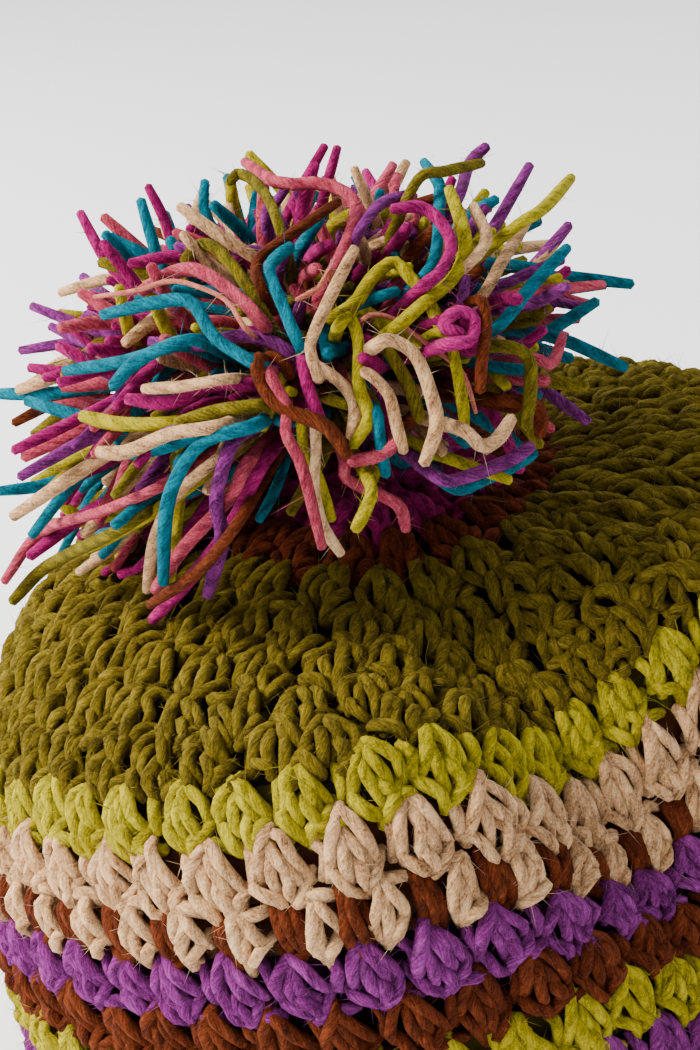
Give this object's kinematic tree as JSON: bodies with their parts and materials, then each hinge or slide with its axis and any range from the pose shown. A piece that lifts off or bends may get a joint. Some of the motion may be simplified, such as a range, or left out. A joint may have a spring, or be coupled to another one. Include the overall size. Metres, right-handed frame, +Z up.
{
  "type": "pom-pom hat",
  "caption": "Slouchy crocheted wool hat in striped rounds of colour, open at the rim, with a big loose yarn pom-pom on the crown.",
  "frame": {"origin": "on the surface that the rim stands on, below the middle of the hat's box", "axes": "+Z up from the rim to the pom-pom, -Y to the front, +X to the wearer's left as the front is faced from outside"},
  "size_m": [0.1938, 0.1948, 0.2183],
  "materials": {
    "magenta_wool": "soft two-ply wool, crocheted, matt and hairy",
    "brown_wool": "soft two-ply wool, crocheted, matt and hairy",
    "olive_wool": "soft two-ply wool, crocheted, matt and hairy",
    "lime_wool": "soft two-ply wool, crocheted, matt and hairy",
    "cream_wool": "soft two-ply wool, crocheted, matt and hairy",
    "cream_and_brown_wool": "soft two-ply wool in two colours taking turns, crocheted, matt and hairy",
    "purple_wool": "soft two-ply wool, crocheted, matt and hairy",
    "pompom_yarn": "cut lengths of soft two-ply wool in eight colours, matt and hairy"
  },
  "bodies": {
    "root": {"crown_centre": "magenta_wool", "crown_brown_round": "brown_wool", "crown_olive_rounds": "olive_wool", "lime_round": "lime_wool", "cream_round": "cream_wool", "cream_brown_round": "cream_and_brown_wool", "purple_round": "purple_wool", "brown_round": "brown_wool", "lower_lime_round": "lime_wool", "lower_purple_round": "purple_wool", "rim_rounds": "brown_wool", "pompom": "pompom_yarn"}
  },
  "joints": []
}
